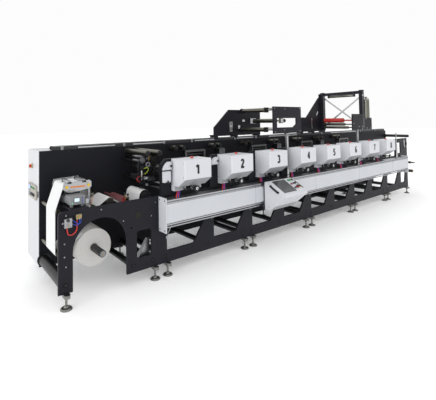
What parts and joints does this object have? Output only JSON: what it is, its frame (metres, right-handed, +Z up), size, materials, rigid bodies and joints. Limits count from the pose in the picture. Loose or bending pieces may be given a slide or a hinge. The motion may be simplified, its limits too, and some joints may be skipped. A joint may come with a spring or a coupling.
{
  "type": "flexographic printing press",
  "caption": "In-line narrow-web label printing press with numbered white hoods on a black frame, a paper reel, a sliding control panel and two overhead gantries.",
  "frame": {"origin": "middle of the bounding box on the floor", "axes": "+X along the web from the reel to the winding end, +Y from the operator's side to the cabinets, +Z up"},
  "size_m": [9.242, 1.959, 2.425],
  "materials": {
    "frame_black": "satin",
    "cabinet_grey": "satin",
    "cover_white": "satin",
    "duct_aluminium": "satin",
    "bright_steel": "polished",
    "dark_steel": "satin",
    "foot_steel": "satin",
    "anodised_grey": "satin",
    "screen_glass": "gloss",
    "button_plastic": "gloss",
    "black_plastic": "matte",
    "red_plastic": "gloss",
    "beige_plastic": "matte",
    "hose_rubber": "matte",
    "red_rubber": "satin",
    "paper": "matte"
  },
  "bodies": {
    "press": {"unwind_front_plate": "frame_black", "front_frame_1": "frame_black", "front_frame_2": "frame_black", "front_frame_3": "frame_black", "front_frame_4": "frame_black", "delivery_front_plate": "frame_black", "back_wall": "frame_black", "rear_cabinets": "cabinet_grey", "cabinet_doors": "cabinet_grey", "tie_bars": "frame_black", "feet": "foot_steel", "service_duct": "duct_aluminium", "duct_end_plates": "cover_white", "panel_rail": "bright_steel", "print_hoods": "cover_white", "unit_side_plates": "frame_black", "impression_cylinders": "bright_steel", "plate_cylinders": "dark_steel", "anilox_rollers": "bright_steel", "web_rollers": "anodised_grey", "dryer_heads": "duct_aluminium", "web_brackets": "duct_aluminium", "ink_covers": "cover_white", "handwheels": "foot_steel", "hood_knobs": "red_plastic", "ink_hoses": "hose_rubber", "unwind_bearing": "dark_steel", "unwind_idlers": "anodised_grey", "nip_roller": "red_rubber", "infeed_roller": "hose_rubber", "paper_web": "paper", "web_guide": "duct_aluminium", "web_guide_rollers": "anodised_grey", "guide_controller": "cover_white", "air_valve": "dark_steel", "side_controls": "beige_plastic", "winding_shafts": "anodised_grey", "screw_post": "bright_steel", "top_rails": "bright_steel"},
    "reel": {"paper_roll": "paper", "unwind_shaft": "dark_steel"},
    "gantry_1": {"gantry_1_back": "frame_black", "gantry_1_front": "frame_black", "gantry_1_rollers": "anodised_grey", "gantry_1_post": "duct_aluminium"},
    "gantry_2": {"gantry_2_back": "frame_black", "gantry_2_front": "frame_black", "gantry_2_beam": "frame_black", "gantry_2_braces": "bright_steel", "gantry_2_rollers": "anodised_grey", "red_roller": "red_rubber", "turning_bar": "dark_steel", "gantry_2_post": "duct_aluminium"},
    "control_panel": {"control_box": "cover_white", "control_screen": "screen_glass", "control_buttons": "button_plastic", "control_handles": "black_plastic", "control_carriage": "black_plastic"}
  },
  "joints": [
    {"name": "unwind_spin", "type": "hinge", "parent": "press", "child": "reel", "pos_m": [-4.145, -0.0425, 0.449], "axis": [0, 1, 0], "continuous": true},
    {"name": "gantry_1_slide", "type": "slide", "parent": "press", "child": "gantry_1", "axis": [1, 0, 0], "range_m": [-0.2, 0.04]},
    {"name": "gantry_2_slide", "type": "slide", "parent": "press", "child": "gantry_2", "axis": [1, 0, 0], "range_m": [-0.2, 0.035]},
    {"name": "panel_slide", "type": "slide", "parent": "press", "child": "control_panel", "axis": [1, 0, 0], "range_m": [-1.5, 4.5]}
  ]
}
